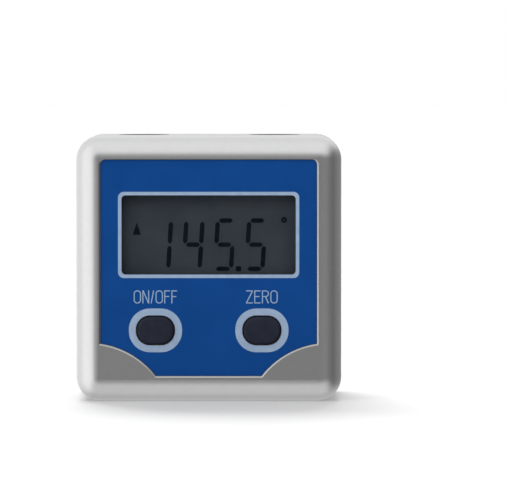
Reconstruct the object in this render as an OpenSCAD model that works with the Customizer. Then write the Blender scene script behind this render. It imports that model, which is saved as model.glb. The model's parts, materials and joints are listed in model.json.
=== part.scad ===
// Digital angle gauge: a square metal box with magnets in its base and top, a display and two keys.
// It stands on its base with +Z up and its face towards -Y. The origin is the middle of its footprint.

/* [Housing] */
// Width of the housing, left to right
body_w = 51; // [50:0.5:60]
// Height of the housing, base to top
body_h = 51; // [50:0.5:60]
// Overall depth, front face to the back of the rear cover
body_d = 33; // [30:0.5:42]
// Radius of the four corners, seen from the front
corner_r = 4.6; // [3:0.1:5]
// Radius of the rounded front edge
edge_r = 4.2; // [2:0.1:4.2]
// Thickness of the left and right walls
side_wall = 2.5; // [2:0.1:3]
// Thickness of the base and top walls, which hold the magnets
base_wall = 4; // [3.6:0.1:4.2]
// Thickness of the front wall
front_wall = 2.6; // [2.3:0.1:3]
// Distance of the corner pillars' axes from the outer faces
pillar_inset = 5.2; // [5:0.1:5.5]
// Radius of the corner pillars
pillar_r = 3; // [2.6:0.1:3.3]

/* [Face label] */
// Distance of the label's side edges from the outer faces
label_margin = 4.8; // [4.8:0.1:6]
// Height of the label's centre above the housing's
label_up = 0.2; // [0:0.05:0.2]
// Depth of the label's surface behind the front face
label_recess = 0.5; // [0.2:0.05:0.6]
// Thickness of the label
label_t = 0.4; // [0.2:0.05:0.5]
// Gap between the label's edge and the pocket's wall
label_gap = 0.1; // [0.05:0.05:0.3]
// Width of the chamfer round the pocket's mouth
mouth_w = 0.25; // [0.1:0.05:0.25]
// Depth of the chamfer round the pocket's mouth
mouth_t = 0.2; // [0.1:0.05:0.2]
// Height of the label's two lower corner cuts
land_rise = 6.2; // [4:0.1:8]
// Width of the label's two lower corner cuts
land_run = 10.6; // [8:0.1:12]
// Radius of the arc of the lower corner cuts
land_r = 16.5; // [12:0.5:25]
// Radius of the label's two upper corners
label_r = 1; // [0.4:0.1:2]

/* [Display] */
// Distance of the window's side edges from the label's
window_side = 4; // [3.5:0.1:6]
// Distance of the window's upper edge below the label's
window_above = 6.8; // [6.6:0.1:7.4]
// Distance of the window's lower edge above the label's
window_below = 19.4; // [19:0.1:22]
// Radius of the window's corners
window_r = 0.8; // [0.3:0.1:2]
// Thickness of the clear window plate
window_t = 1; // [0.6:0.1:1.2]
// Width of the ledge that the window plate rests on
window_ledge = 1; // [0.6:0.1:1.2]
// Reach of the LCD glass past the window's side edges
lcd_side = 1.8; // [0.6:0.1:2.2]
// Reach of the LCD's front glass past the window's upper and lower edges
lcd_over = 2.1; // [1.4:0.1:2.2]
// Drop of the LCD's centre below the window's centre
lcd_drop = 0.4; // [0.2:0.1:1]
// Thickness of each of the LCD's two glass sheets
lcd_glass_t = 1.1; // [0.7:0.05:1.3]
// Height of the contact ledge that the LCD's rear glass leaves free
lcd_ledge = 2.2; // [2.1:0.1:2.6]
// Wall of the LCD holder around the glass
holder_wall = 0.8; // [0.6:0.1:1]
// Thickness of the LCD holder's shelf behind the glass
holder_shelf = 1.2; // [0.8:0.1:1.6]
// Distance of the LCD connector strip's ends from the glass's
connector_end = 2; // [1.5:0.1:4]
// Thickness of the LCD connector strip
connector_t = 1.6; // [1.2:0.1:1.8]

/* [Buttons] */
// Width of a button
button_w = 7.1; // [6:0.1:8]
// Height of a button
button_h = 5.3; // [4.5:0.1:6]
// Radius of a button's corners, seen from the front
button_r = 2.5; // [1:0.1:2.6]
// Radius of a button's front edge
button_edge_r = 0.6; // [0.2:0.1:0.8]
// Distance of the buttons' axes from the label's side edges
button_side = 10.5; // [9.5:0.1:11.5]
// Height of the buttons' axes above the label's lower edge
button_up = 8.7; // [8.2:0.1:9.5]
// Height of a button above the label
button_proud = 0.5; // [0.4:0.05:0.5]
// Travel of a button
button_travel = 0.4; // [0.2:0.05:0.5]
// Gap around a button in the front wall
button_gap = 0.15; // [0.1:0.05:0.3]
// Gap around a button in the label
label_hole_gap = 0.25; // [0.15:0.05:0.4]
// Width of the button's flange behind the front wall
flange_margin = 1; // [0.6:0.1:1.2]
// Thickness of the button's flange
flange_t = 0.9; // [0.6:0.1:1.2]
// Side of the switch body
switch_w = 6; // [5:0.1:6.5]
// Height of the switch body above the board
switch_h = 3.5; // [3:0.1:4]
// Diameter of the switch plunger
plunger_d = 3.5; // [2.5:0.1:4]
// Length of the plunger inside its switch
plunger_guide = 1.5; // [1:0.1:1.8]

/* [Circuit board] */
// Thickness of the circuit board
board_t = 1.6; // [1:0.1:2]
// Distance of the board behind the front wall
board_standoff = 6; // [5.6:0.1:7]
// Gap around the board
board_gap = 0.5; // [0.3:0.1:0.8]
// Distance of the board's screws from the middle
board_hole_x = 8; // [6:0.1:10]
// Distance of the board's screws from its upper and lower edges
board_hole_edge = 2; // [1.8:0.1:2.1]
// Diameter of the bosses that the board rests on
boss_d = 4; // [3.6:0.1:4.2]
// Diameter of a board screw
board_screw_d = 1.8; // [1.4:0.1:2]
// Length of a board screw under its head
board_screw_l = 5; // [4:0.1:6]
// Diameter of a board screw's head
board_head_d = 3.4; // [2.8:0.1:3.6]
// Height of a board screw's head
board_head_h = 1.2; // [0.9:0.1:1.6]
// Side of the controller chip
chip_w = 7; // [5:0.1:8]
// Height of the controller chip
chip_t = 1.4; // [1:0.1:2]
// Number of leads on each side of the controller chip
chip_leads = 8; // [4:1:10]
// Side of the tilt sensor
sensor_w = 5; // [3:0.1:6]
// Height of the tilt sensor
sensor_t = 1.5; // [1:0.1:2]
// Length of the timing crystal
crystal_l = 5; // [3:0.1:6]
// Width of the timing crystal
crystal_w = 3.2; // [2:0.1:4]
// Height of the timing crystal
crystal_t = 1.2; // [0.8:0.1:2]

/* [Rear cover] */
// Thickness of the rear cover's plate
cover_t = 4; // [3.6:0.1:5]
// Step of the rear cover inside the housing's faces
cover_inset = 0.4; // [0.2:0.1:0.6]
// Radius of the rear cover's back edge
cover_edge_r = 1.5; // [0.5:0.1:1.7]
// Thickness of the cover's locating ribs
rib_t = 1.2; // [0.8:0.1:1.6]
// Depth of the locating ribs inside the housing
rib_depth = 3; // [2:0.1:4]
// Gap between the locating ribs and the housing
rib_gap = 0.15; // [0.1:0.05:0.3]
// Diameter of a cover screw
cover_screw_d = 2.4; // [2:0.1:2.6]
// Length of a cover screw under its head
cover_screw_l = 10; // [8:0.5:14]
// Diameter of a cover screw's head
cover_head_d = 4.4; // [3.8:0.1:4.6]
// Height of a cover screw's head
cover_head_h = 1.6; // [1.2:0.1:1.9]

/* [Battery] */
// Diameter of the coin cell
cell_d = 20; // [19:0.1:20.5]
// Thickness of the coin cell
cell_t = 3.2; // [2.5:0.1:3.6]
// Diameter of the coin cell's negative cap
cell_cap_d = 17.6; // [16:0.1:18]
// Distance of the coin cell's axis from the side that the door opens to
cell_side = 16.5; // [15.5:0.1:17.5]
// Gap between the coin cell and its well
well_gap = 0.3; // [0.2:0.05:0.5]
// Wall and floor of the coin cell's well
well_wall = 1.2; // [0.8:0.1:1.6]
// Width of the battery door between its rails
door_w = 23; // [21:0.5:26]
// Thickness of the battery door
door_t = 1.8; // [1.6:0.1:2]
// Gap around the battery door
door_gap = 0.15; // [0.1:0.05:0.25]
// Width of the tongue along each side of the door
tongue_w = 1; // [0.6:0.1:1.4]
// Thickness of the door's tongues
tongue_t = 0.9; // [0.7:0.1:1]
// Number of grip grooves across the door
grip_count = 5; // [3:1:6]
// Thickness of the contact strips
contact_t = 0.3; // [0.2:0.05:0.4]
// Width of the contact strips
contact_w = 4; // [3:0.1:5]
// Height of the negative contact's spring above the well's floor
contact_rise = 0.8; // [0.6:0.1:1.2]
// Reach of the negative contact from the coin cell's axis
contact_reach = 6; // [5:0.1:7]
// Length of the contacts' solder tags below the well
tag_l = 1.5; // [1:0.1:2.5]
// Diameter of the battery leads
lead_d = 1; // [0.6:0.1:1.4]
// Bow of the battery leads, as the angle at which they leave their ends
lead_bow = 35; // [15:1:45]

/* [Magnets] */
// Diameter of a magnet
magnet_d = 10; // [8:0.1:11]
// Thickness of a magnet
magnet_t = 3; // [2:0.1:3.2]
// Distance of the magnets' axes from the side faces
magnet_side = 12.8; // [11.5:0.1:15.5]
// Gap around a magnet in its pocket
magnet_gap = 0.05; // [0.02:0.01:0.1]
// Depth of a magnet's face below the outer face
magnet_recess = 0; // [0:0.01:0.2]

/* [Hidden] */
$fn = 64;
// Least straight stretch that is left beside a rounded corner
least_flat = 0.1;
// Overlap of a cut past the face that it starts from
cut = 1;
// Radial clearance of a screw in its pilot hole, and of its shank in a plain hole
pilot_gap = 0.05;
shank_gap = 0.2;
// Clearance around a screw's head in its counterbore, and depth of the head's top below the face
head_gap = 0.2;
head_sunk = 0.3;
// Space past a screw's tip
tip_gap = 0.5;
// Clearance around the window plate and around the LCD's pieces
glass_gap = 0.1;
// Clearance behind the front wall for a button's flange
flange_gap = 0.05;
// Radial clearance of a plunger in its switch, and the space past its end when pressed
plunger_gap = 0.1;
plunger_spare = 0.3;
// Space between the coin cell and the door, and between the cell's rim and the positive contact
cell_gap = 0.25;
contact_gap = 0.05;
// Clearance around a contact strip in its slot
slot_gap = 0.1;
// Cover left between the door's closed end and the well, and beside the ribs' ends
door_end = 1.5;
rib_end_gap = 1;
// Foot and flat crest of the negative contact's spring
contact_foot = 2;
contact_crest = 3;
// Height of the coin cell's negative cap, and radius of its positive edge
cell_cap_t = 0.4;
cell_edge_r = 0.5;
// Width, depth and spacing of the door's grip grooves, and their distance from the door's open end
grip_w = 0.8;
grip_depth = 0.5;
grip_pitch = 1.8;
grip_end = 3;
// Share of the door's width that the grip grooves take
grip_share = 0.55;
// Radii of small edges: magnets, screw heads, chips and the board's corners
magnet_edge_r = 0.2;
head_edge_r = 0.4;
chip_edge_r = 0.3;
board_edge_r = 0.8;
// Width and depth of a screw's cross recess, as shares of its head
recess_reach = 0.6;
recess_w = 0.17;
recess_depth = 0.55;
// Extra turn of a lead's bend past the faces that trim it, in degrees
lead_spare_angle = 10;
// Places of the chips on the board's back, from the housing's centre
chip_x = -9;
chip_z = 2;
sensor_x = -9;
sensor_z = -11;
crystal_x = 5;
crystal_z = -11;
// Size of the controller chip's leads
lead_reach = 1;
lead_t = 0.25;

// Levels along the depth, measured from the front face
front_y = -body_d / 2;
rear_y = body_d / 2;
mid_z = body_h / 2;
housing_d = body_d - cover_t;
label_back = label_recess + label_t;
window_back = label_back + window_t;
lcd_step = front_wall + lcd_glass_t;
lcd_back = lcd_step + lcd_glass_t;
board_front = front_wall + board_standoff;
board_back = board_front + board_t;
flange_front = front_wall + flange_gap;
flange_back = flange_front + flange_t;
button_front = label_recess - button_proud;
switch_front = board_front - switch_h;

// Levels measured from the back of the rear cover
cell_top = door_t + cell_gap;
well_floor = cell_top + cell_t + contact_rise;
well_back = well_floor + well_wall;
tag_end = well_back + tag_l;

// Sizes that follow from the driving dimensions
front_edge_r = min(edge_r, corner_r - least_flat);
cavity_w = body_w - 2 * side_wall;
cavity_h = body_h - 2 * base_wall;
cavity_r = max(corner_r - side_wall, least_flat);
label_w = body_w - 2 * label_margin;
label_h = body_h - 2 * label_margin;
window_w = label_w - 2 * window_side;
window_h = label_h - window_above - window_below;
window_up = label_up + (window_below - window_above) / 2;
button_x = label_w / 2 - button_side;
button_drop = label_h / 2 - label_up - button_up;
board_w = cavity_w - 2 * board_gap;
board_h = cavity_h - 2 * board_gap;
board_hole_z = board_h / 2 - board_hole_edge;
lcd_w = window_w + 2 * lcd_side;
lcd_h = window_h + 2 * lcd_over;
lcd_up = window_up - lcd_drop;
connector_l = lcd_w - 2 * connector_end;
connector_up = lcd_up - lcd_h / 2 + lcd_ledge / 2;
holder_w = lcd_w + 2 * (glass_gap + holder_wall);
holder_h = lcd_h + 2 * (glass_gap + holder_wall);
pillar_x = body_w / 2 - pillar_inset;
pillar_z = body_h / 2 - pillar_inset;
cover_w = body_w - 2 * cover_inset;
cover_h = body_h - 2 * cover_inset;
cover_r = corner_r - cover_inset;
well_r = cell_d / 2 + well_gap;
cell_x = body_w / 2 - cell_side;
door_x0 = cell_x - well_r - door_end;
magnet_x = body_w / 2 - magnet_side;
magnet_y = front_y + (front_edge_r + housing_d) / 2;
positive_x = cell_x - cell_d / 2 - contact_gap - contact_t;
negative_x = cell_x + contact_reach - contact_t;
board_pilot = board_screw_l - board_t + tip_gap;
cover_seat = head_sunk + cover_head_h;
cover_pilot = cover_screw_l - (cover_t - cover_seat) + tip_gap;

// Centre of the arc that cuts a lower corner of the label: it passes through the cut's two ends
land_chord = sqrt(land_run * land_run + land_rise * land_rise);
land_sag = sqrt(land_r * land_r - land_chord * land_chord / 4);
land_x = label_w / 2 - land_run / 2 + land_sag * land_rise / land_chord;
land_z = label_up - label_h / 2 + land_rise / 2 - land_sag * land_run / land_chord;

// Outline helpers, drawn in the plane of the face with the housing's centre at the origin

// A rectangle with round corners, centred
module rounded_rect(w, h, r) {
    corner = min(r, w / 2 - least_flat, h / 2 - least_flat);
    square([w - 2 * corner, h], center = true);
    square([w, h - 2 * corner], center = true);
    for (sx = [-1, 1], sz = [-1, 1])
        translate([sx * (w / 2 - corner), sz * (h / 2 - corner)])
            circle(corner);
}

// Section of a slab's rim: reach r out, height t, with its outer upper corner rounded by e
module rim_section(r, t, e) {
    square([r, t - e]);
    square([r - e, t]);
    translate([r - e, t - e])
        intersection() {
            circle(e);
            square(e);
        }
}

// The four corner pillars, each a round that is filled out to the walls
module pillar_outlines(r) {
    for (sx = [-1, 1], sz = [-1, 1])
        in_quadrant(sx, sz)
            translate([pillar_x, pillar_z]) {
                circle(r);
                translate([-r, 0])
                    square([r + pillar_inset, pillar_inset]);
                translate([0, -r])
                    square([pillar_inset, r + pillar_inset]);
            }
}

// Children mirrored into the quadrant that the two signs name
module in_quadrant(sx, sz) {
    mirror([sx < 0 ? 1 : 0, 0])
        mirror([0, sz < 0 ? 1 : 0])
            children();
}

// The label's outline, grown by a margin: round above, and cut by an arc at each lower corner
module label_outline(margin) {
    difference() {
        translate([0, label_up])
            rounded_rect(label_w + 2 * margin, label_h + 2 * margin, label_r + margin);
        for (sx = [-1, 1])
            translate([sx * land_x, land_z])
                circle(land_r - margin);
    }
}

// One outline per button, grown by a margin
module button_outline(margin) {
    rounded_rect(button_w + 2 * margin, button_h + 2 * margin, button_r + margin);
}

// Solid helpers

// Extrudes an outline of the face between two depths behind the front face
module from_front(near, far) {
    translate([0, front_y + far, mid_z])
        rotate([90, 0, 0])
            linear_extrude(far - near)
                children();
}

// Extrudes an outline of the face between two depths ahead of the back face
module from_rear(near, far) {
    translate([0, rear_y - near, mid_z])
        rotate([90, 0, 0])
            linear_extrude(far - near)
                children();
}

// A slab with round corners. Its rim has the section that its child draws, from the corners' centres outwards
module rimmed_slab(w, h, t, corner) {
    long_x = w - 2 * corner;
    long_y = h - 2 * corner;
    linear_extrude(t)
        square([long_x, long_y], center = true);
    for (side = [0:3]) {
        across = side % 2 == 0 ? long_x : long_y;
        along = side % 2 == 0 ? long_y : long_x;
        rotate([0, 0, 90 * side]) {
            translate([across / 2, 0, 0])
                rotate([90, 0, 0])
                    linear_extrude(along, center = true)
                        children();
            translate([across / 2, along / 2, 0])
                rotate_extrude(angle = 90)
                    children();
        }
    }
}

// A slab with round corners whose upper edge is rounded all the way round
module rounded_slab(w, h, t, r, e) {
    corner = min(r, w / 2 - least_flat, h / 2 - least_flat);
    rimmed_slab(w, h, t, corner)
        rim_section(corner, t, min(e, corner - least_flat));
}

// A turned disc whose upper edge is rounded
module rounded_disc(d, t, e) {
    rotate_extrude()
        rim_section(d / 2, t, e);
}

// A pan-head screw along Z with its head's top at the origin
module pan_screw(d, length, head_d, head_h) {
    difference() {
        translate([0, 0, -head_h])
            rounded_disc(head_d, head_h, head_edge_r);
        for (turn = [0, 90])
            rotate([0, 0, turn])
                translate([0, 0, cut / 2 - recess_depth * head_h / 2])
                    cube([recess_reach * head_d, recess_w * head_d, recess_depth * head_h + cut], center = true);
    }
    translate([0, 0, -head_h - length])
        cylinder(d = d, h = length);
}

// Places children, drawn with +Z to the rear, at a point of the face and a depth behind the front
module facing_rear(x, z, depth) {
    translate([x, front_y + depth, mid_z + z])
        rotate([-90, 0, 0])
            children();
}

// Places children, drawn with +Z to the front, at a point of the face and a depth behind the front
module facing_front(x, z, depth) {
    translate([x, front_y + depth, mid_z + z])
        rotate([90, 0, 0])
            children();
}

// Places children at the board's four screws
module at_board_screws(depth) {
    for (sx = [-1, 1], sz = [-1, 1])
        facing_rear(sx * board_hole_x, sz * board_hole_z, depth)
            children();
}

// Places children at the cover's four screws
module at_cover_screws(depth) {
    for (sx = [-1, 1], sz = [-1, 1])
        facing_rear(sx * pillar_x, sz * pillar_z, depth)
            children();
}

// Housing

// Room inside the housing, less its pillars and bosses
module housing_cavity() {
    difference() {
        from_front(front_wall, housing_d + cut)
            difference() {
                rounded_rect(cavity_w, cavity_h, cavity_r);
                pillar_outlines(pillar_r);
            }
        at_board_screws(front_wall - cut)
            cylinder(d = boss_d, h = board_standoff + cut);
    }
}

// Radius of a corner land at a depth in the pocket's chamfered mouth
function land_radius(depth) = land_r - label_gap - mouth_w * (1 - depth / mouth_t);

// Chamfered mouth of the label's pocket, with its two corner lands left standing
module pocket_mouth() {
    depth = mouth_t + cut;
    flare = mouth_w * depth / mouth_t;
    corner = label_r + label_gap;
    difference() {
        facing_front(0, label_up, mouth_t)
            rimmed_slab(label_w + 2 * label_gap, label_h + 2 * label_gap, depth, corner)
                polygon([[0, 0], [corner, 0], [corner + flare, depth], [0, depth]]);
        for (sx = [-1, 1])
            facing_rear(sx * land_x, land_z, -2 * cut)
                cylinder(
                    h = mouth_t + 3 * cut,
                    r1 = land_radius(-2 * cut),
                    r2 = land_radius(mouth_t + cut)
                );
    }
}

// Pocket that the label lies in
module label_pocket() {
    pocket_mouth();
    from_front(-cut, label_back)
        label_outline(label_gap);
}

// Opening of the display, with the rebate that the window plate lies in
module window_opening() {
    from_front(label_back - cut, front_wall + cut)
        translate([0, window_up])
            rounded_rect(window_w, window_h, window_r);
    from_front(label_back - cut, window_back)
        translate([0, window_up])
            rounded_rect(
                window_w + 2 * (window_ledge + glass_gap),
                window_h + 2 * (window_ledge + glass_gap),
                window_r + window_ledge
            );
}

// Both button holes through the front wall
module button_holes() {
    from_front(label_back - cut, front_wall + cut)
        for (sx = [-1, 1])
            translate([sx * button_x, -button_drop])
                button_outline(button_gap);
}

// The four magnet pockets in the base and the top
module magnet_pockets() {
    pocket_d = magnet_d + 2 * magnet_gap;
    depth = magnet_t + magnet_recess;
    for (sx = [-1, 1], z = [-cut, body_h - depth])
        translate([sx * magnet_x, magnet_y, z])
            cylinder(d = pocket_d, h = depth + cut);
}

module housing() {
    color("silver")
        difference() {
            facing_front(0, 0, housing_d)
                rounded_slab(body_w, body_h, housing_d, corner_r, front_edge_r);
            housing_cavity();
            label_pocket();
            window_opening();
            button_holes();
            magnet_pockets();
            at_board_screws(board_front - board_pilot)
                cylinder(d = board_screw_d + 2 * pilot_gap, h = board_pilot + cut);
            at_cover_screws(housing_d - cover_pilot)
                cylinder(d = cover_screw_d + 2 * pilot_gap, h = cover_pilot + cut);
        }
}

// Face

module face_label() {
    color("royalblue")
        from_front(label_recess, label_back)
            difference() {
                label_outline(0);
                translate([0, window_up])
                    rounded_rect(window_w, window_h, window_r);
                for (sx = [-1, 1])
                    translate([sx * button_x, -button_drop])
                        button_outline(label_hole_gap);
            }
}

module display_window() {
    color("lightcyan", 0.4)
        from_front(label_back, window_back)
            translate([0, window_up])
                rounded_rect(window_w + 2 * window_ledge, window_h + 2 * window_ledge, window_r + window_ledge);
}

// Display

module lcd_panel() {
    color("darkslategray") {
        from_front(front_wall, lcd_step)
            translate([0, lcd_up])
                square([lcd_w, lcd_h], center = true);
        from_front(lcd_step, lcd_back)
            translate([0, lcd_up + lcd_ledge / 2])
                square([lcd_w, lcd_h - lcd_ledge], center = true);
    }
}

module lcd_holder() {
    shelf_back = lcd_back + holder_shelf;
    hollow_h = lcd_h - lcd_ledge - 2 * holder_wall;
    color("whitesmoke")
        difference() {
            from_front(front_wall, board_front)
                translate([0, lcd_up])
                    rounded_rect(holder_w, holder_h, holder_wall);
            from_front(front_wall - cut, lcd_back)
                translate([0, lcd_up])
                    square([lcd_w + 2 * glass_gap, lcd_h + 2 * glass_gap], center = true);
            from_front(lcd_back - cut, board_front + cut)
                translate([0, connector_up])
                    square([connector_l + 2 * glass_gap, connector_t + 2 * glass_gap], center = true);
            from_front(shelf_back, board_front + cut)
                translate([0, lcd_up + lcd_ledge / 2])
                    square([lcd_w - 2 * holder_wall, hollow_h], center = true);
        }
}

module lcd_connector() {
    color("dimgray")
        from_front(lcd_step, board_front)
            translate([0, connector_up])
                square([connector_l, connector_t], center = true);
}

// Circuit board and its chips

module circuit_board() {
    color("seagreen")
        difference() {
            from_front(board_front, board_back)
                difference() {
                    rounded_rect(board_w, board_h, board_edge_r);
                    pillar_outlines(pillar_r + board_gap);
                }
            at_board_screws(board_front - cut)
                cylinder(d = board_screw_d + 2 * shank_gap, h = board_t + 2 * cut);
        }
}

module board_screws() {
    color("lightsteelblue")
        at_board_screws(board_back + board_head_h)
            pan_screw(board_screw_d, board_screw_l, board_head_d, board_head_h);
}

module controller_chip() {
    pitch = (chip_w - 2 * chip_edge_r) / chip_leads;
    color("dimgray")
        facing_rear(chip_x, chip_z, board_back) {
            rounded_slab(chip_w, chip_w, chip_t, 2 * chip_edge_r, chip_edge_r);
            for (side = [-1, 1], i = [0:chip_leads - 1])
                translate([side * (chip_w + lead_reach) / 2, (i - (chip_leads - 1) / 2) * pitch, lead_t / 2])
                    cube([lead_reach, pitch / 2, lead_t], center = true);
        }
}

module tilt_sensor() {
    color("gray")
        facing_rear(sensor_x, sensor_z, board_back)
            rounded_slab(sensor_w, sensor_w, sensor_t, 2 * chip_edge_r, chip_edge_r);
}

module timing_crystal() {
    color("gainsboro")
        facing_rear(crystal_x, crystal_z, board_back)
            rounded_slab(crystal_l, crystal_w, crystal_t, 2 * chip_edge_r, chip_edge_r);
}

// Buttons and switches

module button_at(x) {
    color("darkslategray") {
        facing_front(x, -button_drop, flange_front)
            rounded_slab(button_w, button_h, flange_front - button_front, button_r, button_edge_r);
        from_front(flange_front, flange_back)
            translate([x, -button_drop])
                button_outline(flange_margin);
    }
}

// A plunger reaches from the button's flange into its switch
module plunger_at(x) {
    color("black")
        facing_rear(x, -button_drop, flange_back)
            cylinder(d = plunger_d, h = switch_front + plunger_guide - flange_back);
}

module switch_at(x) {
    well = plunger_guide + button_travel + plunger_spare;
    color("gray")
        difference() {
            from_front(switch_front, board_front)
                translate([x, -button_drop])
                    rounded_rect(switch_w, switch_w, chip_edge_r);
            facing_rear(x, -button_drop, switch_front - cut)
                cylinder(d = plunger_d + 2 * plunger_gap, h = well + cut);
        }
}

module on_off_button() button_at(-button_x);
module on_off_plunger() plunger_at(-button_x);
module on_off_switch() switch_at(-button_x);
module zero_button() button_at(button_x);
module zero_plunger() plunger_at(button_x);
module zero_switch() switch_at(button_x);

// Rear cover and battery door

// Outer form of the cover with its door in place
module cover_slab() {
    facing_rear(0, 0, housing_d)
        rounded_slab(cover_w, cover_h, cover_t, cover_r, cover_edge_r);
}

// The door's section, with a tongue along each side, carried along X to past the cover's side
module door_prism(x0, clear) {
    translate([x0, rear_y, mid_z])
        rotate([90, 0, 90])
            linear_extrude(cover_w / 2 + cut - x0) {
                translate([-door_t - clear, -door_w / 2 - clear])
                    square([door_t + clear + cut, door_w + 2 * clear]);
                translate([-door_t - clear, -door_w / 2 - tongue_w - clear])
                    square([tongue_t + 2 * clear, door_w + 2 * (tongue_w + clear)]);
            }
}

// Ribs on the cover that locate it inside the housing's walls
module locating_ribs() {
    long_x = 2 * (pillar_x - pillar_r - rib_end_gap);
    long_z = 2 * (pillar_z - pillar_r - rib_end_gap);
    from_rear(cover_t, cover_t + rib_depth)
        for (side = [-1, 1]) {
            translate([side * (cavity_w / 2 - rib_gap - rib_t / 2), 0])
                square([rib_t, long_z], center = true);
            translate([0, side * (cavity_h / 2 - rib_gap - rib_t / 2)])
                square([long_x, rib_t], center = true);
        }
}

// Slots that the two contacts' tags pass through
module contact_slots() {
    slot_w = contact_w + 2 * slot_gap;
    slot_t = contact_t + 2 * slot_gap;
    from_rear(door_t, well_back + cut)
        translate([positive_x - slot_gap, -slot_w / 2])
            square([slot_t + cut, slot_w]);
    from_rear(well_floor - cut, well_back + cut)
        translate([negative_x - slot_gap, -slot_w / 2])
            square([slot_t, slot_w]);
}

module rear_cover() {
    color("dimgray")
        difference() {
            union() {
                cover_slab();
                locating_ribs();
                from_rear(cover_t, well_back)
                    translate([cell_x, 0])
                        circle(well_r + well_wall);
            }
            door_prism(door_x0, door_gap);
            from_rear(door_t, well_floor)
                translate([cell_x, 0])
                    circle(well_r);
            contact_slots();
            at_cover_screws(housing_d - cut)
                cylinder(d = cover_screw_d + 2 * shank_gap, h = cover_t + 2 * cut);
            at_cover_screws(body_d - cover_seat)
                cylinder(d = cover_head_d + 2 * head_gap, h = cover_seat + cut);
        }
}

module cover_screws() {
    color("lightsteelblue")
        at_cover_screws(body_d - head_sunk)
            pan_screw(cover_screw_d, cover_screw_l, cover_head_d, cover_head_h);
}

module battery_door() {
    grip_x = cover_w / 2 - grip_end;
    color("dimgray")
        difference() {
            intersection() {
                cover_slab();
                door_prism(door_x0 + door_gap, 0);
            }
            from_rear(-cut, grip_depth)
                for (i = [0:grip_count - 1])
                    translate([grip_x - i * grip_pitch, 0])
                        square([grip_w, grip_share * door_w], center = true);
        }
}

// Battery, contacts and leads

module coin_cell() {
    can_t = cell_t - cell_cap_t;
    color("gainsboro")
        facing_rear(cell_x, 0, body_d - cell_top - can_t) {
            rounded_disc(cell_d, can_t, cell_edge_r);
            translate([0, 0, -cell_cap_t])
                cylinder(d = cell_cap_d, h = cell_cap_t);
        }
}

// Straight strip beside the cell's rim, ending in its tag
module positive_contact() {
    color("goldenrod")
        from_rear(cell_top, tag_end)
            translate([positive_x, -contact_w / 2])
                square([contact_t, contact_w]);
}

// Arched spring strip under the cell, turned down through the floor into its tag
module negative_contact() {
    crest = contact_crest / 2;
    foot = contact_reach - contact_foot;
    under = contact_rise - contact_t;
    color("goldenrod")
        translate([cell_x, rear_y - well_floor, mid_z - contact_w / 2])
            linear_extrude(contact_w) {
                polygon([
                    [-contact_reach, 0], [-foot, 0], [-crest, under], [crest, under], [foot, 0], [contact_reach, 0],
                    [contact_reach, contact_t], [foot, contact_t], [crest, contact_rise],
                    [-crest, contact_rise], [-foot, contact_t], [-contact_reach, contact_t]
                ]);
                translate([contact_reach - contact_t, well_floor - tag_end])
                    square([contact_t, tag_end - well_floor + contact_t]);
            }
}

// Insulated lead along Y that bows out sideways, cut flush with its tag and with the board
module bowed_lead(x, side) {
    length = body_d - tag_end - board_back;
    bend_r = length / (2 * sin(lead_bow));
    bow = bend_r * cos(lead_bow);
    turn = lead_bow + lead_spare_angle;
    translate([x, front_y + board_back, mid_z])
        mirror([side < 0 ? 1 : 0, 0, 0])
            intersection() {
                translate([-bow, length / 2, 0])
                    rotate([0, 0, -turn])
                        rotate_extrude(angle = 2 * turn)
                            translate([bend_r, 0])
                                circle(d = lead_d);
                translate([-bend_r, 0, -lead_d])
                    cube([2 * bend_r, length, 2 * lead_d]);
            }
}

module positive_lead() {
    color("firebrick")
        bowed_lead(positive_x + contact_t / 2, 1);
}

module negative_lead() {
    color("black")
        bowed_lead(negative_x + contact_t / 2, -1);
}

// Magnets

// A magnet with its rounded face towards the outside of the base or the top
module magnet_at(side, at_top) {
    color("slategray")
        translate([side * magnet_x, magnet_y, at_top ? body_h - magnet_recess : magnet_recess])
            mirror([0, 0, at_top ? 0 : 1])
                translate([0, 0, -magnet_t])
                    rounded_disc(magnet_d, magnet_t, magnet_edge_r);
}

module base_magnet_left() magnet_at(-1, false);
module base_magnet_right() magnet_at(1, false);
module top_magnet_left() magnet_at(-1, true);
module top_magnet_right() magnet_at(1, true);

housing();
face_label();
display_window();
lcd_panel();
lcd_holder();
lcd_connector();
circuit_board();
board_screws();
controller_chip();
tilt_sensor();
timing_crystal();
on_off_button();
on_off_plunger();
on_off_switch();
zero_button();
zero_plunger();
zero_switch();
rear_cover();
cover_screws();
battery_door();
coin_cell();
positive_contact();
negative_contact();
positive_lead();
negative_lead();
base_magnet_left();
base_magnet_right();
top_magnet_left();
top_magnet_right();
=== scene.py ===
# Digital angle gauge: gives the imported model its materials, print, display marks, light and camera.
import json
import math

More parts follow.
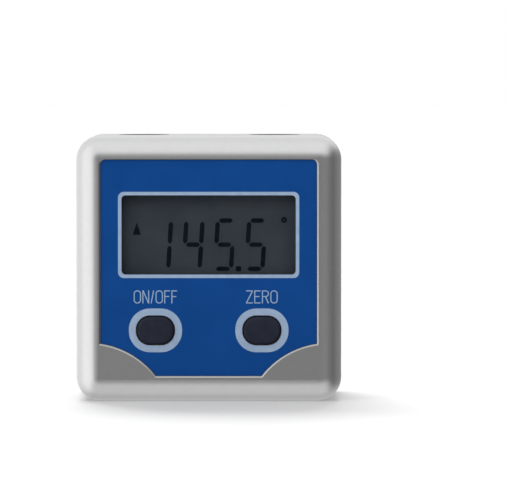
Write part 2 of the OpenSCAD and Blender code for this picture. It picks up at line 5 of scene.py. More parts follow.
import bmesh
import bpy
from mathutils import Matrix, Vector


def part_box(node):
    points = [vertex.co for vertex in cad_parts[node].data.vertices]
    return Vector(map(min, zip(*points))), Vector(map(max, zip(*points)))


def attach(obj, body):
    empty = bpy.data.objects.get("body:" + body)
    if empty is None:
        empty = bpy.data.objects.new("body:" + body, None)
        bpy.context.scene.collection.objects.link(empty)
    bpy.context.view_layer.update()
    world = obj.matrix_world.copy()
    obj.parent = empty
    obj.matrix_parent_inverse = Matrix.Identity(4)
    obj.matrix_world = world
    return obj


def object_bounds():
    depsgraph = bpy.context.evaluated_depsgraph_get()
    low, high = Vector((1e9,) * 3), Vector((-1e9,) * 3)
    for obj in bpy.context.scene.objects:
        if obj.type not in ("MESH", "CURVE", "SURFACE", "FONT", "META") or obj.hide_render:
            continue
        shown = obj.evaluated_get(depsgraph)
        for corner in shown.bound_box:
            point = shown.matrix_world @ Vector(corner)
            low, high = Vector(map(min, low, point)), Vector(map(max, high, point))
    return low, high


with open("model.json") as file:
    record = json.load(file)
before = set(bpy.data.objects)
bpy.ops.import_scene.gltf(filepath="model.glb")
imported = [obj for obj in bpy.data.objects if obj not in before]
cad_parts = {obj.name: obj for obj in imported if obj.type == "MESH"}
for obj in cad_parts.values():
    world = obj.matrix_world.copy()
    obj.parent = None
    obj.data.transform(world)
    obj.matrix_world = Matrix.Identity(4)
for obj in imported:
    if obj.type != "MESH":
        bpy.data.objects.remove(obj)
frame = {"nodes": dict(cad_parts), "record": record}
cad_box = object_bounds()

MM = 0.001

# The photograph: its size, the middle of the face in it and the face's width, in pixels
PHOTO_W = 508
PHOTO_H = 504
FACE_AT = (208.6, 269.0)
FACE_PX = 266.4

# The camera's distance from the face in metres, its height above the horizon in degrees, and the width of
# its sensor in millimetres
CAMERA_DISTANCE = 0.9
CAMERA_RISE = 2.3
SENSOR_W = 36

# The label's print: how far it stands proud of the label and reaches into it
INK_PROUD = 0.02 * MM
INK_SUNK = 0.01 * MM
# Border round the window, from the window's opening outwards
WINDOW_LEDGE = 1.0 * MM
WINDOW_R = 0.8 * MM
BORDER_W = 0.66 * MM
# Rings round the buttons, from the label's holes outwards
BUTTON_FLANGE = 1.0 * MM
HOLE_GAP = 0.25 * MM
HOLE_R = 2.75 * MM
RING_W = 1.3 * MM
# Lettering: height and stroke of the capitals, gap between them, and their middle above the buttons' axes
CAPITAL_H = 2.5 * MM
LETTER_STROKE = 0.19 * MM
LETTER_GAP = 0.27 * MM
LETTER_UP = 6.42 * MM
# Widths of the letters, as shares of their height
LETTER_WIDTHS = {"O": 0.56, "N": 0.52, "/": 0.27, "F": 0.44, "Z": 0.52, "E": 0.48, "R": 0.54}
# Height of the middle bar, as a share of a letter's height
BAR_UP = 0.53
# Corners of an O, reach of a middle arm and start of an R's leg, as shares of a letter's width
O_CORNER = 0.46
ARM_REACH = 0.85
LEG_START = 0.45
# Level widths of the slanting strokes of an N, a Z and an R, and the lap of an R's pieces, in strokes
N_SLANT = 1.1
Z_SLANT = 1.15
R_SLANT = 1.15
R_LAP = 0.1

# The display's marks: how far they stand proud of the LCD's glass and reach into it
MARK_PROUD = 0.02 * MM
MARK_SUNK = 0.01 * MM
# Seven-segment digits: reading, pitch, size between the middles of the strokes, stroke, gap and slant
READING = "1455"
DIGIT_PITCH = 6.03 * MM
DIGIT_W = 3.1 * MM
DIGIT_H = 9.27 * MM
SEGMENT_W = 0.86 * MM
SEGMENT_GAP = 0.18 * MM
DIGIT_SLANT = math.tan(math.radians(3.5))
# Drop of the digits' middle below the window's middle
DIGIT_DROP = 1.94 * MM
# Decimal point, before the last digit: size, corner, and place to the right of the window's middle
POINT_SIZE = 1.0 * MM
POINT_R = 0.2 * MM
POINT_X = 5.71 * MM
# Arrow at the upper left and degree mark at the upper right, from the window's middle
ARROW_W = 1.6 * MM
ARROW_H = 2.4 * MM
ARROW_AT = (-13.8 * MM, 1.15 * MM)
DEGREE_D = 1.15 * MM
DEGREE_HOLE_D = 0.3 * MM
DEGREE_AT = (14.44 * MM, 2.82 * MM)

# The label pocket's chamfered mouth, given painted shade: its reach outside the label, the depth at which
# the painted shade is full, and its tone as a share of the metal's, all round and where it faces down
MOUTH_REACH = 0.5 * MM
MOUTH_DEPTH = 0.03 * MM
MOUTH_SHADE_TONE = 0.68
MOUTH_TOP_SHADE_TONE = 0.46
# Upward part of the normal at which a face begins to count as facing down, and at which it counts in full
DOWN_FROM = -0.1
DOWN_FULL = -0.5

# Painted shade in the cross recess of a cover screw: depths below the head at which it begins and is
# full, and its tone
RECESS_FROM = 0.1 * MM
RECESS_FULL = 0.4 * MM
RECESS_SHADE_TONE = 0.4

# Values of a noise pattern that stand for the low and the high end of what it varies
PATTERN_LOW = 0.3
PATTERN_HIGH = 0.7
# How far the roughness strays to either side, on moulded pieces and on brushed metal
MOULDED_STRAY = 0.06
BRUSHED_STRAY = 0.08

# Sockets of a mix node, by number since their names repeat: factor, numbers, colours, and the two results
MIX_FACTOR = 0
MIX_NUMBERS = (2, 3)
MIX_COLOURS = (6, 7)
MIX_NUMBER_OUT = 0
MIX_COLOUR_OUT = 2

# Straight steps in a quarter turn of an outline
CORNER_STEPS = 12

# The floor's reach to the sides, to the front and to the rear in metres, and its own glow
FLOOR_SIDE = 2.0
FLOOR_FRONT = 0.4
FLOOR_REAR = 6.0
FLOOR_GLOW = 0.26


# Outlines, as lists of (x, z) points in the plane of the face


def rounded_outline(width, height, radius, centre):
    """A rectangle with round corners."""
    points = []
    for turn in range(4):
        side_x = 1 if turn in (0, 3) else -1
        side_z = 1 if turn in (0, 1) else -1
        corner_x = centre[0] + side_x * (width / 2 - radius)
        corner_z = centre[1] + side_z * (height / 2 - radius)
        for step in range(CORNER_STEPS + 1):
            angle = math.pi / 2 * (turn + step / CORNER_STEPS)
            points.append((corner_x + radius * math.cos(angle), corner_z + radius * math.sin(angle)))
    return points


def circle_outline(diameter, centre):
    """A whole circle."""
    points = []
    for step in range(4 * CORNER_STEPS):
        angle = math.pi / 2 * step / CORNER_STEPS
        x = centre[0] + diameter / 2 * math.cos(angle)
        points.append((x, centre[1] + diameter / 2 * math.sin(angle)))
    return points


def right_half(radius, centre):
    """The right half of a circle, from its top to its foot."""
    points = []
    for step in range(2 * CORNER_STEPS + 1):
        angle = math.radians(90 - 90 * step / CORNER_STEPS)
        points.append((centre[0] + radius * math.cos(angle), centre[1] + radius * math.sin(angle)))
    return points


def moved(points, x, z):
    """The same points, moved in the plane of the face."""
    return [(px + x, pz + z) for px, pz in points]


# Capitals with their lower left corners at the origin, as pairs of an outline and its hole


def capital_o(width, height, stroke):
    """A ring with round corners."""
    corner = width * O_CORNER
    middle = (width / 2, height / 2)
    outer = rounded_outline(width, height, corner, middle)
    inner = rounded_outline(width - 2 * stroke, height - 2 * stroke, corner - stroke, middle)
    return [(outer, inner)]


def capital_n(width, height, stroke):
    """Two stems and a diagonal."""
    slant = N_SLANT * stroke
    rise = height * stroke / (width - slant)
    right = width - stroke
    points = [
        (0, 0), (0, height), (slant, height), (right, rise), (right, height),
        (width, height), (width, 0), (width - slant, 0), (stroke, height - rise), (stroke, 0),
    ]
    return [(points, None)]


def slash(width, height, stroke):
    """One slanting stroke."""
    return [([(0, 0), (width - stroke, height), (width, height), (stroke, 0)], None)]


def capital_z(width, height, stroke):
    """Two bars and a diagonal."""
    slant = Z_SLANT * stroke
    under_top = height - stroke
    points = [
        (0, height), (width, height), (width, under_top), (slant, stroke), (width, stroke),
        (width, 0), (0, 0), (0, stroke), (width - slant, under_top), (0, under_top),
    ]
    return [(points, None)]


def upper_arms(width, height, stroke):
    """The outline that an F and an E share, from the stem's lower left corner round both upper arms."""
    arm = ARM_REACH * width
    bar_top = height * BAR_UP + stroke / 2
    bar_foot = height * BAR_UP - stroke / 2
    return [
        (0, 0), (0, height), (width, height), (width, height - stroke), (stroke, height - stroke),
        (stroke, bar_top), (arm, bar_top), (arm, bar_foot), (stroke, bar_foot),
    ]


def capital_f(width, height, stroke):
    """A stem and two arms."""
    return [(upper_arms(width, height, stroke) + [(stroke, 0)], None)]


def capital_e(width, height, stroke):
    """A stem and three arms."""
    return [(upper_arms(width, height, stroke) + [(stroke, stroke), (width, stroke), (width, 0)], None)]


def capital_r(width, height, stroke):
    """A stem, a bowl and a leg, each lapped a little into the next."""
    lap = R_LAP * stroke
    slant = R_SLANT * stroke
    leg_x = LEG_START * width
    foot = height * BAR_UP - stroke / 2
    bowl_r = (height - foot) / 2
    bowl_at = (width - bowl_r, foot + bowl_r)
    outer = right_half(bowl_r, bowl_at)
    inner = right_half(bowl_r - stroke, bowl_at)
    side = stroke - lap
    bowl = [(side, height)] + outer + [(side, foot), (side, foot + stroke)]
    bowl += inner[::-1] + [(side, height - stroke)]
    stem = [(0, 0), (0, height), (stroke, height), (stroke, 0)]
    leg = [(leg_x, foot + lap), (leg_x + slant, foot + lap), (width, 0), (width - slant, 0)]
    return [(stem, None), (bowl, None), (leg, None)]


CAPITALS = {
    "O": capital_o,
    "N": capital_n,
    "/": slash,
    "F": capital_f,
    "Z": capital_z,
    "E": capital_e,
    "R": capital_r,
}


def word_outlines(word, middle_x, middle_z):
    """Outlines of a word in capitals, centred on a point."""
    widths = [LETTER_WIDTHS[letter] * CAPITAL_H for letter in word]
    x = middle_x - (sum(widths) + LETTER_GAP * (len(word) - 1)) / 2
    z = middle_z - CAPITAL_H / 2
    outlines = []
    for letter, width in zip(word, widths):
        for outer, inner in CAPITALS[letter](width, CAPITAL_H, LETTER_STROKE):
            hole = None if inner is None else moved(inner, x, z)
            outlines.append((moved(outer, x, z), hole))
        x += width + LETTER_GAP
    return outlines


# The segments in use: the two ends of each, in half widths and half heights from the digit's middle
SEGMENTS = {
    "top": ((-1, 1), (1, 1)),
    "upper_left": ((-1, 0), (-1, 1)),
    "upper_right": ((1, 0), (1, 1)),
    "middle": ((-1, 0), (1, 0)),
    "lower_right": ((1, -1), (1, 0)),
    "bottom": ((-1, -1), (1, -1)),
}
# Segments that each digit lights
LIT = {
    "1": ["upper_right", "lower_right"],
    "4": ["upper_left", "upper_right", "middle", "lower_right"],
    "5": ["top", "upper_left", "middle", "lower_right", "bottom"],
}


def segment_outline(ends):
    """A six-sided stroke between two ends, with its points drawn in by the gap."""
    start = Vector((ends[0][0] * DIGIT_W / 2, ends[0][1] * DIGIT_H / 2))
    end = Vector((ends[1][0] * DIGIT_W / 2, ends[1][1] * DIGIT_H / 2))
    along = (end - start).normalized()
    across = Vector((-along.y, along.x)) * SEGMENT_W / 2
    tip = along * SEGMENT_GAP
    shoulder = along * (SEGMENT_GAP + SEGMENT_W / 2)
    points = [
        start + tip, start + shoulder + across, end - shoulder + across,
        end - tip, end - shoulder - across, start + shoulder - across,
    ]
    return [(point.x + DIGIT_SLANT * point.y, point.y) for point in points]


def reading_outlines(middle_x, middle_z):
    """Outlines of every lit segment of the reading, centred on a point."""
    outlines = []
    for place, digit in enumerate(READING):
        x = middle_x + (place - (len(READING) - 1) / 2) * DIGIT_PITCH
        for segment in LIT[digit]:
            outlines.append((moved(segment_outline(SEGMENTS[segment]), x, middle_z), None))
    return outlines


# Thin pieces that lie on the face


def add_plate(mesh, outer, inner, near, far):
    """Adds a closed plate between two depths. A hole's outline has as many points as the outer one."""
    rings = [outer] if inner is None else [outer, inner]
    front = [[mesh.verts.new((x, near, z)) for x, z in ring] for ring in rings]
    back = [[mesh.verts.new((x, far, z)) for x, z in ring] for ring in rings]
    count = len(outer)
    if inner is None:
        mesh.faces.new(front[0])
        mesh.faces.new(back[0])
    for here in range(count):
        after = (here + 1) % count
        for ring_front, ring_back in zip(front, back):
            mesh.faces.new((ring_front[here], ring_front[after], ring_back[after], ring_back[here]))
        if inner is not None:
            for rim, hole in (front, back):
                mesh.faces.new((rim[here], rim[after], hole[after], hole[here]))


def flat_piece(name, outlines, surface_y, proud, sunk, material):
    """Makes one thin piece on a surface that faces the front, riding on the gauge."""
    mesh = bmesh.new()
    for outer, inner in outlines:
        add_plate(mesh, outer, inner, surface_y - proud, surface_y + sunk)
    bmesh.ops.recalc_face_normals(mesh, faces=mesh.faces)
    data = bpy.data.meshes.new(name)
    mesh.to_mesh(data)
    mesh.free()
    data.materials.append(material)
    piece = bpy.data.objects.new(name, data)
    bpy.context.scene.collection.objects.link(piece)
    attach(piece, "gauge")


# Materials


class Surface:
    """A procedural material round one Principled shader, patterned in the model's own metres."""

    def __init__(self, name, metallic=0.0, specular=0.5):
        self.material = bpy.data.materials.new(name)
        self.material.use_nodes = True
        self.tree = self.material.node_tree
        self.shader = self.tree.nodes["Principled BSDF"]
        self.shader.inputs["Metallic"].default_value = metallic
        self.shader.inputs["Specular IOR Level"].default_value = specular
        coordinates = self.tree.nodes.new("ShaderNodeTexCoord")
        self.place = coordinates.outputs["Object"]
        self.facing = coordinates.outputs["Normal"]

    def set(self, socket, value):
        """Sets a value that is the same all over the surface."""
        self.shader.inputs[socket].default_value = value

    def link(self, source, target):
        """Joins an output to an input."""
        self.tree.links.new(source, target)

    def noise(self, grain, detail=3.0, stretch=(1, 1, 1)):
        """Noise whose grains are about this many metres across, drawn out along the axes by stretch."""
        scale = self.tree.nodes.new("ShaderNodeMapping")
        scale.inputs["Scale"].default_value = [1 / (grain * reach) for reach in stretch]
        pattern = self.tree.nodes.new("ShaderNodeTexNoise")
        pattern.inputs["Scale"].default_value = 1.0
        pattern.inputs["Detail"].default_value = detail
        self.link(self.place, scale.inputs["Vector"])
        self.link(scale.outputs["Vector"], pattern.inputs["Vector"])
        return pattern.outputs["Fac"]

    def colour(self, pattern, dark, light):
        """Colours the surface between two tones by a pattern."""
        ramp = self.tree.nodes.new("ShaderNodeValToRGB")
        ramp.color_ramp.elements[0].position = PATTERN_LOW
        ramp.color_ramp.elements[0].color = (*dark, 1)
        ramp.color_ramp.elements[1].position = PATTERN_HIGH
        ramp.color_ramp.elements[1].color = (*light, 1)
        self.link(pattern, ramp.inputs["Fac"])
        self.link(ramp.outputs["Color"], self.shader.inputs["Base Color"])

    def roughness(self, pattern, low, high):
        """Spreads the roughness between two values by a pattern."""
        spread = self.tree.nodes.new("ShaderNodeMapRange")
        spread.inputs["From Min"].default_value = PATTERN_LOW
        spread.inputs["From Max"].default_value = PATTERN_HIGH
        spread.inputs["To Min"].default_value = low
        spread.inputs["To Max"].default_value = high
        self.link(pattern, spread.inputs["Value"])
        self.link(spread.outputs["Result"], self.shader.inputs["Roughness"])

    def rise(self, vector, axis, start, full):
        """A mask that rises from 0 to 1 between two values of a vector's part."""
        parts = self.tree.nodes.new("ShaderNodeSeparateXYZ")
        step = self.tree.nodes.new("ShaderNodeMapRange")
        step.inputs["From Min"].default_value = start
        step.inputs["From Max"].default_value = full
        self.link(vector, parts.inputs["Vector"])
        self.link(parts.outputs[axis], step.inputs["Value"])
        return step.outputs["Result"]

    def overlap(self, masks):
        """A mask of where all of these masks hold."""
        both = masks[0]
        for mask in masks[1:]:
            times = self.tree.nodes.new("ShaderNodeMath")
            times.operation = "MULTIPLY"
            self.link(both, times.inputs[0])
            self.link(mask, times.inputs[1])
            both = times.outputs[0]
        return both

    def paint_shade(self, mask, tone):
        """Paints shade: lowers the colour to a share of itself where a mask is 1."""
        base = self.shader.inputs["Base Color"]
        before = base.links[0].from_socket
        mix = self.tree.nodes.new("ShaderNodeMix")
        mix.data_type = "RGBA"
        mix.blend_type = "MULTIPLY"
        mix.inputs[MIX_COLOURS[1]].default_value = (tone, tone, tone, 1)
        self.link(mask, mix.inputs[MIX_FACTOR])
        self.link(before, mix.inputs[MIX_COLOURS[0]])
        self.link(mix.outputs[MIX_COLOUR_OUT], base)

    def bump(self, pattern, depth):
        """Raises the surface by a pattern, this many metres from low to high."""
        relief = self.tree.nodes.new("ShaderNodeBump")
        relief.inputs["Strength"].default_value = 1.0
        relief.inputs["Distance"].default_value = depth
        self.link(pattern, relief.inputs["Height"])
        self.link(relief.outputs["Normal"], self.shader.inputs["Normal"])


def blasted_metal():
    """Satin metal of the housing, with painted shade on the chamfered mouth of the label's pocket."""
    surface = Surface("cast_metal", metallic=1.0)
    surface.colour(surface.noise(1.2 * MM), (0.45, 0.45, 0.455), (0.465, 0.465, 0.47))
    surface.roughness(surface.noise(0.5 * MM), 0.285, 0.315)
    surface.bump(surface.noise(0.2 * MM, detail=2), 0.003 * MM)
    low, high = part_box("face_label")
    front = cad_box[0].y
    mouth = [surface.rise(surface.place, "Y", front, front + MOUTH_DEPTH)]
    for axis, start, end in (("X", low.x, high.x), ("Z", low.z, high.z)):
        outset = start - MOUTH_REACH
        mouth.append(surface.rise(surface.place, axis, outset, outset + MOUTH_DEPTH))
        outset = end + MOUTH_REACH
        mouth.append(surface.rise(surface.place, axis, outset, outset - MOUTH_DEPTH))
    # Painted shade on the pocket's mouth all round, and deeper painted shade where it faces down
    surface.paint_shade(surface.overlap(mouth), MOUTH_SHADE_TONE)
    facing_down = surface.rise(surface.facing, "Z", DOWN_FROM, DOWN_FULL)
    surface.paint_shade(surface.overlap(mouth + [facing_down]), MOUTH_TOP_SHADE_TONE / MOUTH_SHADE_TONE)
    return surface.material


def printed_film():
    """Blue film of the label."""
    surface = Surface("blue_label", specular=0.06)
    surface.colour(surface.noise(7 * MM), (0.0018, 0.0385, 0.169), (0.0026, 0.044, 0.187))
    surface.roughness(surface.noise(1.5 * MM), 0.42, 0.5)
    surface.bump(surface.noise(0.2 * MM), 0.0025 * MM)
    return surface.material


def pale_ink():
    """Pale blue ink of the label's print."""
    surface = Surface("pale_ink", specular=0.25)
    surface.colour(surface.noise(1.5 * MM), (0.2, 0.27, 0.38), (0.23, 0.305, 0.418))
    surface.roughness(surface.noise(0.8 * MM), 0.45, 0.55)
    surface.bump(surface.noise(0.15 * MM), 0.003 * MM)
    return surface.material


def clear_window():
    """Clear plate before the display, with almost no reflection of its own."""
    surface = Surface("clear_window", specular=0.03)
    surface.set("Transmission Weight", 1.0)
    surface.set("IOR", 1.05)
    surface.colour(surface.noise(12 * MM), (0.95, 0.96, 0.97), (0.98, 0.99, 1.0))
    surface.roughness(surface.noise(4 * MM), 0.004, 0.012)
    surface.bump(surface.noise(6 * MM, detail=1), 0.0008 * MM)
    return surface.material


def display_glass():
    """Dark grey glass of the LCD."""
    surface = Surface("lcd_glass", specular=0.05)
    surface.colour(surface.noise(6 * MM), (0.0235, 0.029, 0.036), (0.0295, 0.035, 0.042))
    surface.roughness(surface.noise(1 * MM), 0.34, 0.42)
    surface.bump(surface.noise(2.5 * MM, detail=1), 0.001 * MM)
    return surface.material


def display_mark():
    """Near-black digits and signs of the LCD."""
    surface = Surface("lcd_mark", specular=0.05)
    surface.colour(surface.noise(1.2 * MM), (0.001, 0.0025, 0.005), (0.003, 0.005, 0.008))
    surface.roughness(surface.noise(0.6 * MM), 0.34, 0.42)
    surface.bump(surface.noise(2.5 * MM, detail=1), 0.001 * MM)
    return surface.material


def matte_rubber():
    """Dark rubber of the keys."""
    surface = Surface("dark_rubber", specular=0.12)
    surface.colour(surface.noise(2 * MM), (0.008, 0.0105, 0.019), (0.012, 0.0145, 0.025))
    surface.roughness(surface.noise(0.6 * MM), 0.52, 0.66)
    surface.bump(surface.noise(0.12 * MM), 0.006 * MM)
    return surface.material


def spark_plastic():
    """Black plastic with the fine grain of a spark-eroded mould."""
    surface = Surface("cover_plastic", specular=0.45)
    surface.colour(surface.noise(1 * MM), (0.013, 0.0135, 0.0155), (0.0165, 0.017, 0.0195))
    surface.roughness(surface.noise(0.8 * MM), 0.46, 0.52)
    surface.bump(surface.noise(0.25 * MM, detail=4), 0.022 * MM)
    return surface.material


def moulded(name, dark, light, roughness, specular=0.4):
    """A plain moulded or coated material between two tones."""
    surface = Surface(name, specular=specular)
    surface.colour(surface.noise(2.5 * MM), dark, light)
    surface.roughness(surface.noise(0.7 * MM), roughness - MOULDED_STRAY, roughness + MOULDED_STRAY)
    surface.bump(surface.noise(0.2 * MM), 0.006 * MM)
    return surface.material


def brushed(name, dark, light, roughness):
    """A metal surface with its grain along the X axis."""
    surface = Surface(name, metallic=1.0)
    surface.colour(surface.noise(1.5 * MM), dark, light)
    grain = surface.noise(0.1 * MM, stretch=(12, 1, 1))
    surface.roughness(grain, roughness - BRUSHED_STRAY, roughness + BRUSHED_STRAY)
    surface.bump(surface.noise(0.08 * MM, stretch=(15, 1, 1)), 0.0025 * MM)
    return surface


def plated_steel(name):
    """Bright plated steel."""
    return brushed(name, (0.585, 0.585, 0.595), (0.625, 0.625, 0.63), 0.32)


def cross_screw():
    """Steel of the cover screws, with painted shade down in their cross recesses."""
    surface = plated_steel("cross_screw")
    head_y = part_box("cover_screws")[1].y
    recess = surface.rise(surface.place, "Y", head_y - RECESS_FROM, head_y - RECESS_FULL)
    # Painted shade down in the cross recesses
    surface.paint_shade(recess, RECESS_SHADE_TONE)
    return surface.material


MATERIALS = {
    "cast_metal": blasted_metal(),
    "blue_label": printed_film(),
    "clear_window": clear_window(),
    "lcd_glass": display_glass(),
    "white_plastic": moulded("white_plastic", (0.74, 0.74, 0.71), (0.82, 0.82, 0.8), 0.5),
    "dark_rubber": matte_rubber(),
    "board_green": moulded("board_green", (0.012, 0.11, 0.045), (0.022, 0.15, 0.06), 0.35),
    "screw_steel": plated_steel("screw_steel").material,
    "chip_black": moulded("chip_black", (0.014, 0.014, 0.015), (0.024, 0.024, 0.024), 0.55),
    "cover_plastic": spark_plastic(),
    "contact_brass": brushed("contact_brass", (0.68, 0.5, 0.22), (0.8, 0.62, 0.3), 0.3).material,
    "red_insulation": moulded("red_insulation", (0.4, 0.012, 0.012), (0.52, 0.022, 0.02), 0.45),
    "magnet_nickel": moulded(
        "magnet_nickel", (0.018, 0.018, 0.02), (0.024, 0.024, 0.027), 0.5, specular=0.0
    ),
}
PALE_INK = pale_ink()
LCD_MARK = display_mark()

for subpart in frame["record"]["subparts"]:
    slots = frame["nodes"][subpart["node"]].data.materials
    slots.clear()
    slots.append(MATERIALS[subpart["material_slot"]])

# The cover screws have their own steel, with painted shade in their cross recesses
frame["nodes"]["cover_screws"].data.materials[0] = cross_screw()

# The clear window casts no shadow on the display, and light that bounces about passes it by
display_window = frame["nodes"]["display_window"]
display_window.visible_shadow = False
display_window.visible_diffuse = False
display_window.visible_glossy = False

# Where the print and the display's marks lie
label_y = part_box("face_label")[0].y
lcd_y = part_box("lcd_panel")[0].y
window_low, window_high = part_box("display_window")
window_mid = (window_low + window_high) / 2
window_w = window_high.x - window_low.x - 2 * WINDOW_LEDGE
window_h = window_high.z - window_low.z - 2 * WINDOW_LEDGE


def print_piece(name, outlines):
    """Makes one piece of pale print on the label."""
    flat_piece(name, outlines, label_y, INK_PROUD, INK_SUNK, PALE_INK)


def lcd_piece(name, outlines):
    """Makes one dark mark on the LCD's glass."""
    flat_piece(name, outlines, lcd_y, MARK_PROUD, MARK_SUNK, LCD_MARK)


# Print on the label
border_at = (window_mid.x, window_mid.z)
outer_w = window_w + 2 * BORDER_W
outer_h = window_h + 2 * BORDER_W
border_outer = rounded_outline(outer_w, outer_h, WINDOW_R + BORDER_W / 2, border_at)
border_inner = rounded_outline(window_w, window_h, WINDOW_R, border_at)
print_piece("window_border", [(border_outer, border_inner)])

for button, word in (("on_off", "ON/OFF"), ("zero", "ZERO")):
    low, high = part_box(button + "_button")
    axis_x = (low.x + high.x) / 2
    axis_z = (low.z + high.z) / 2
    hole_w = high.x - low.x - 2 * (BUTTON_FLANGE - HOLE_GAP)
    hole_h = high.z - low.z - 2 * (BUTTON_FLANGE - HOLE_GAP)
    outer_w = hole_w + 2 * RING_W
    outer_h = hole_h + 2 * RING_W
    ring_outer = rounded_outline(outer_w, outer_h, HOLE_R + RING_W, (axis_x, axis_z))
    ring_inner = rounded_outline(hole_w, hole_h, HOLE_R, (axis_x, axis_z))
    print_piece(button + "_ring", [(ring_outer, ring_inner)])
    print_piece(button + "_lettering", word_outlines(word, axis_x, axis_z + LETTER_UP))

# Marks on the display
digits_z = window_mid.z - DIGIT_DROP
lcd_piece("lcd_digits", reading_outlines(window_mid.x, digits_z))

point_at = (window_mid.x + POINT_X, digits_z - DIGIT_H / 2)
point = rounded_outline(POINT_SIZE, POINT_SIZE, POINT_R, point_at)
lcd_piece("lcd_decimal_point", [(point, None)])

arrow = [(-ARROW_W / 2, -ARROW_H / 2), (ARROW_W / 2, -ARROW_H / 2), (0, ARROW_H / 2)]
arrow = moved(arrow, window_mid.x + ARROW_AT[0], window_mid.z + ARROW_AT[1])
lcd_piece("lcd_up_arrow", [(arrow, None)])

degree_at = (window_mid.x + DEGREE_AT[0], window_mid.z + DEGREE_AT[1])
degree_outer = circle_outline(DEGREE_D, degree_at)
degree_inner = circle_outline(DEGREE_HOLE_D, degree_at)
lcd_piece("lcd_degree_mark", [(degree_outer, degree_inner)])


# Floor and light


def make_floor():
    """A wide pale floor under the base, kept out of the metal's reflections."""
    surface = Surface("pale_floor", specular=0.2)
    surface.colour(surface.noise(60 * MM), (0.245, 0.245, 0.245), (0.255, 0.255, 0.255))
    surface.set("Emission Color", (1, 1, 1, 1))
    surface.set("Emission Strength", FLOOR_GLOW)
    surface.roughness(surface.noise(20 * MM), 0.7, 0.8)
    surface.bump(surface.noise(1.0 * MM), 0.01 * MM)
    mesh = bmesh.new()
    corners = (
        (-FLOOR_SIDE, -FLOOR_FRONT),
        (FLOOR_SIDE, -FLOOR_FRONT),
        (FLOOR_SIDE, FLOOR_REAR),
        (-FLOOR_SIDE, FLOOR_REAR),
    )
    mesh.faces.new([mesh.verts.new((x, y, cad_box[0].z)) for x, y in corners])
    data = bpy.data.meshes.new("pale_floor")
    mesh.to_mesh(data)
    mesh.free()
    data.materials.append(surface.material)
    floor = bpy.data.objects.new("pale_floor", data)
    bpy.context.scene.collection.objects.link(floor)
    floor.visible_glossy = False


# Brightness of the studio by direction, from -1 at the left to 1 at the right, in the front half and the
# rear half
FRONT_LIGHT = ((-1.0, 1.0), (-0.5, 0.95), (-0.22, 0.18), (0.0, 0.12), (0.5, 0.17), (0.95, 0.13))
REAR_LIGHT = ((-1.0, 0.8), (-0.4, 0.75), (0.0, 0.4), (0.6, 0.24), (1.0, 0.2))
# How far to the front and to the rear of the middle the one half gives way to the other
REAR_FADE = 0.25
# Brightness overhead and underfoot, in the front half and the rear half
OVERHEAD_LIGHT = (0.82, 0.75)
UNDERFOOT_LIGHT = (0.6, 0.47)
# Slopes of direction between which they take over from the sides
SLOPE_FROM = 0.06
SLOPE_FULL = 0.54
# How far to the right, and to the left, overhead and underfoot begin to fade to the sides' brightness,
# and where they have faded
RIGHT_FADE = (0.5, 1.0)
LEFT_FADE = (-0.3, -0.8)
# Dark card round the camera's lens: its half-angle in degrees, and its soft edge
CARD_ANGLE = 4.0
CARD_EDGE = 2.0
# Radiance of the brightest part of the studio, and of the background that the camera sees
STUDIO_LEVEL = 1.9
BACKGROUND = 1.0


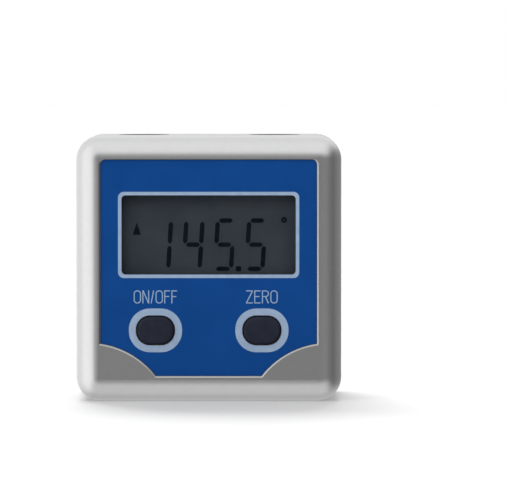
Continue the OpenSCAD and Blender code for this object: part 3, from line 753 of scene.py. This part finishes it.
def make_studio():
    """Soft light all round, brighter from the left and overhead, against a white background."""
    world = bpy.data.worlds.new("studio")
    bpy.context.scene.world = world
    world.use_nodes = True
    tree = world.node_tree
    tree.nodes.clear()

    def add(kind):
        """A new node of a kind."""
        return tree.nodes.new(kind)

    def stretch(source, start, end, smooth):
        """A direction's part, spread from 0 at one value to 1 at another."""
        step = add("ShaderNodeMapRange")
        step.interpolation_type = "SMOOTHSTEP" if smooth else "LINEAR"
        step.inputs["From Min"].default_value = start
        step.inputs["From Max"].default_value = end
        tree.links.new(source, step.inputs["Value"])
        return step.outputs["Result"]

    def sides(source, levels):
        """Brightness from left to right, by its levels at places from -1 to 1."""
        ramp = add("ShaderNodeValToRGB")
        # New stops start halfway, and are then set in order
        while len(ramp.color_ramp.elements) < len(levels):
            ramp.color_ramp.elements.new(0.5)
        for element, (position, level) in zip(ramp.color_ramp.elements, levels):
            element.position = (position + 1) / 2
            element.color = (level, level, level, 1)
        tree.links.new(source, ramp.inputs["Fac"])
        return ramp.outputs["Color"]

    def blend(factor, low, high):
        """Mix from one brightness to another."""
        mix = add("ShaderNodeMix")
        mix.data_type = "FLOAT"
        tree.links.new(factor, mix.inputs[MIX_FACTOR])
        tree.links.new(low, mix.inputs[MIX_NUMBERS[0]])
        tree.links.new(high, mix.inputs[MIX_NUMBERS[1]])
        return mix.outputs[MIX_NUMBER_OUT]

    def product(first, second):
        """One value times another."""
        times = add("ShaderNodeMath")
        times.operation = "MULTIPLY"
        tree.links.new(first, times.inputs[0])
        tree.links.new(second, times.inputs[1])
        return times.outputs[0]

    def constant(value):
        """A value that is the same in every direction."""
        same = add("ShaderNodeValue")
        same.outputs[0].default_value = value
        return same.outputs[0]

    parts = add("ShaderNodeSeparateXYZ")
    tree.links.new(add("ShaderNodeTexCoord").outputs["Generated"], parts.inputs["Vector"])
    sideways = stretch(parts.outputs["X"], -1, 1, False)
    to_rear = stretch(parts.outputs["Y"], -REAR_FADE, REAR_FADE, True)
    level = blend(to_rear, sides(sideways, FRONT_LIGHT), sides(sideways, REAR_LIGHT))
    to_right = stretch(parts.outputs["X"], RIGHT_FADE[1], RIGHT_FADE[0], True)
    to_left = stretch(parts.outputs["X"], LEFT_FADE[1], LEFT_FADE[0], True)
    fade = product(to_right, to_left)
    for sign, (front, rear) in ((1, OVERHEAD_LIGHT), (-1, UNDERFOOT_LIGHT)):
        brightness = blend(to_rear, constant(front), constant(rear))
        slope = stretch(parts.outputs["Z"], sign * SLOPE_FROM, sign * SLOPE_FULL, True)
        level = blend(product(slope, fade), level, brightness)
    card_rim = -math.cos(math.radians(CARD_ANGLE))
    card_edge = -math.cos(math.radians(CARD_ANGLE + CARD_EDGE))
    level = product(level, stretch(parts.outputs["Y"], card_rim, card_edge, True))
    strength = product(level, constant(STUDIO_LEVEL))

    lit = add("ShaderNodeBackground")
    lit.inputs["Color"].default_value = (1, 1, 1, 1)
    tree.links.new(strength, lit.inputs["Strength"])
    seen = add("ShaderNodeBackground")
    seen.inputs["Color"].default_value = (1, 1, 1, 1)
    seen.inputs["Strength"].default_value = BACKGROUND
    path = add("ShaderNodeLightPath")
    choice = add("ShaderNodeMixShader")
    output = add("ShaderNodeOutputWorld")
    tree.links.new(path.outputs["Is Camera Ray"], choice.inputs["Fac"])
    tree.links.new(lit.outputs["Background"], choice.inputs[1])
    tree.links.new(seen.outputs["Background"], choice.inputs[2])
    tree.links.new(choice.outputs["Shader"], output.inputs["Surface"])


# Key softbox, up and to the left in front: place and size in metres, and power in watts
KEY_AT = (-0.27, -0.63, 0.62)
KEY_SIZE = 0.5
KEY_POWER = 2.5


def make_key(target):
    """A square softbox that faces a point."""
    data = bpy.data.lights.new("key_softbox", "AREA")
    data.shape = "SQUARE"
    data.size = KEY_SIZE
    data.energy = KEY_POWER
    key = bpy.data.objects.new("key_softbox", data)
    key.location = KEY_AT
    key.rotation_euler = (target - key.location).to_track_quat("-Z", "Y").to_euler()
    key.visible_glossy = False
    bpy.context.scene.collection.objects.link(key)


# Back light, high up behind and a little to the left: the direction that it shines from, its width in
# degrees, and its strength
BACK_FROM = (-0.12, 0.68, 0.7)
BACK_ANGLE = 40
BACK_STRENGTH = 8.2


def make_back_light():
    """A wide, even light from behind, whose soft shadow falls forward on the floor."""
    data = bpy.data.lights.new("back_light", "SUN")
    data.angle = math.radians(BACK_ANGLE)
    data.energy = BACK_STRENGTH
    back = bpy.data.objects.new("back_light", data)
    back.rotation_euler = (-Vector(BACK_FROM)).to_track_quat("-Z", "Y").to_euler()
    back.visible_glossy = False
    bpy.context.scene.collection.objects.link(back)


def make_camera(face_mid):
    """A long lens at the photograph's angle, with the face where the photograph has it."""
    body_w = cad_box[1].x - cad_box[0].x
    pixel = body_w / FACE_PX
    aim = face_mid + Vector(((PHOTO_W / 2 - FACE_AT[0]) * pixel, 0, (FACE_AT[1] - PHOTO_H / 2) * pixel))
    rise = math.radians(CAMERA_RISE)
    data = bpy.data.cameras.new("camera")
    data.sensor_width = SENSOR_W
    data.lens = SENSOR_W * CAMERA_DISTANCE / (PHOTO_W * pixel)
    camera = bpy.data.objects.new("camera", data)
    camera.location = aim + CAMERA_DISTANCE * Vector((0, -math.cos(rise), math.sin(rise)))
    camera.rotation_euler = (aim - camera.location).to_track_quat("-Z", "Y").to_euler()
    bpy.context.scene.collection.objects.link(camera)
    bpy.context.scene.camera = camera


body_mid = (cad_box[0] + cad_box[1]) / 2
make_floor()
make_studio()
make_key(body_mid)
make_back_light()
make_camera(Vector((body_mid.x, cad_box[0].y, body_mid.z)))
bpy.context.scene.view_settings.view_transform = "Standard"
